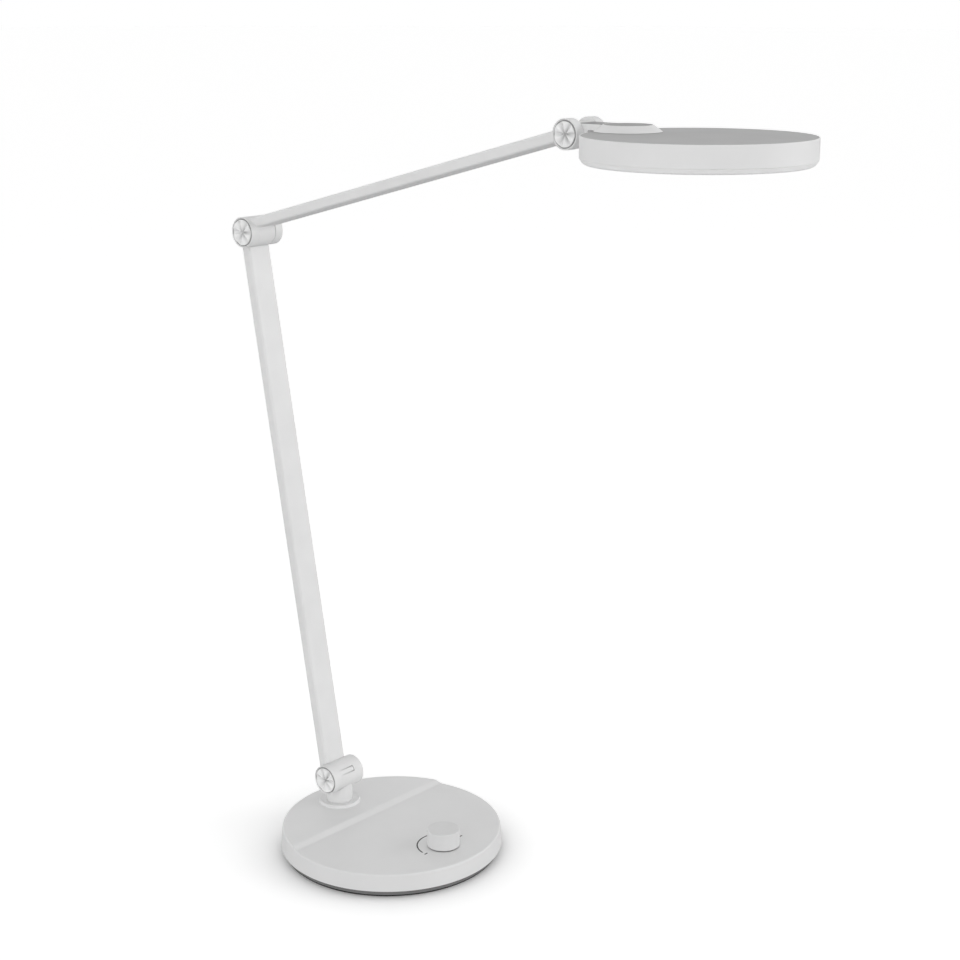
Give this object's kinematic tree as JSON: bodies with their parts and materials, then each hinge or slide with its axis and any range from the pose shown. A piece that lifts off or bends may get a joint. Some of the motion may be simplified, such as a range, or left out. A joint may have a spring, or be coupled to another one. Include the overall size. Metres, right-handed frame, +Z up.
{
  "type": "folding desk lamp",
  "caption": "White folding LED desk lamp: round weighted base with dimmer knob, two flat arms with friction hinges, and a round panel head with opal diffuser.",
  "frame": {"origin": "centre of the underside of the round base, where it rests on the table", "axes": "+Z up, -Y forward to where the head reaches, +X to the right seen from the front of the lamp; the hinge axles lie along X"},
  "size_m": [0.18, 0.5098, 0.594],
  "materials": {
    "white_plastic": "smooth white ABS",
    "white_metal": "white powder coat over aluminium",
    "grey_plastic": "fine matte light grey",
    "dark_plastic": "moulded dark grey",
    "pad_rubber": "soft black rubber",
    "opal_plastic": "opal light diffuser",
    "natural_plastic": "natural low-friction plastic",
    "reflector_film": "white reflector film",
    "plain_steel": "zinc-plated steel",
    "encoder_brass": "turned brass",
    "circuit_board": "coated circuit board",
    "dark_parts": "black moulded components",
    "led_phosphor": "yellow phosphor over the chips"
  },
  "bodies": {
    "base": {"base_pad": "pad_rubber", "bottom_plate": "dark_plastic", "base_cover": "white_plastic", "ballast_weight": "plain_steel", "ballast_screws": "plain_steel", "cover_screws": "plain_steel", "control_board": "circuit_board", "board_screws": "plain_steel", "driver_coil": "dark_parts", "driver_chip": "dark_parts", "lead_connector": "natural_plastic", "dc_jack": "dark_parts", "swivel_collar": "white_metal", "swivel_bush": "natural_plastic", "thrust_washer": "natural_plastic", "encoder_body": "plain_steel", "encoder_bushing": "encoder_brass", "encoder_nut": "encoder_brass"},
    "rotor": {"encoder_rotor": "encoder_brass"},
    "knob": {"encoder_shaft": "plain_steel", "dimmer_knob": "white_plastic"},
    "post": {"post_fork": "white_metal", "post_spindle": "plain_steel", "spring_washer": "plain_steel", "post_nut": "plain_steel", "base_hinge_bolt": "plain_steel", "base_hinge_nut": "plain_steel", "base_hinge_caps": "white_plastic"},
    "lower_arm": {"lower_knuckle": "white_metal", "base_hinge_washers": "natural_plastic", "lower_tube": "white_metal", "lower_fork": "white_metal", "lower_arm_screws": "plain_steel", "elbow_bolt": "plain_steel", "elbow_nut": "plain_steel", "elbow_caps": "white_plastic"},
    "upper_arm": {"upper_knuckle": "white_metal", "elbow_washers": "natural_plastic", "upper_tube": "white_metal", "upper_fork": "white_metal", "upper_arm_screws": "plain_steel", "head_hinge_bolt": "plain_steel", "head_hinge_nut": "plain_steel", "head_hinge_caps": "white_plastic"},
    "bracket": {"head_bracket": "white_metal", "head_hinge_washers": "natural_plastic", "swivel_pin": "plain_steel", "swivel_glide": "natural_plastic", "pin_washer": "plain_steel", "pin_nut": "plain_steel"},
    "head": {"head_housing": "white_plastic", "head_top_cover": "grey_plastic", "led_board": "circuit_board", "led_chips": "led_phosphor", "reflector": "reflector_film", "head_screws": "plain_steel", "diffuser": "opal_plastic"}
  },
  "joints": [
    {"name": "post_swivel", "type": "hinge", "parent": "base", "child": "post", "pos_m": [0, 0.0605, 0.024], "axis": [0, 0, 1], "range_deg": [-90, 90]},
    {"name": "base_hinge", "type": "hinge", "parent": "post", "child": "lower_arm", "pos_m": [0, 0.0605, 0.0454], "axis": [1, 0, 0], "range_deg": [-35, 100]},
    {"name": "elbow_hinge", "type": "hinge", "parent": "lower_arm", "child": "upper_arm", "pos_m": [0, 0.14073, 0.49175], "axis": [-1, 0, 0], "range_deg": [-70, 80]},
    {"name": "head_tilt", "type": "hinge", "parent": "upper_arm", "child": "bracket", "pos_m": [0, -0.18462, 0.58348], "axis": [1, 0, 0], "range_deg": [-60, 90]},
    {"name": "head_swivel", "type": "hinge", "parent": "bracket", "child": "head", "pos_m": [0, -0.22502, 0.58628], "axis": [0, 0, 1], "range_deg": [-30, 30]},
    {"name": "knob_turn", "type": "hinge", "parent": "base", "child": "rotor", "pos_m": [0, -0.0572, 0.0196], "axis": [0, 0, 1], "range_deg": [-170, 0]},
    {"name": "knob_press", "type": "slide", "parent": "rotor", "child": "knob", "axis": [0, 0, -1], "range_m": [0, 0.0004], "stiffness_N_per_m": 4000, "springref_m": -0.0002}
  ]
}
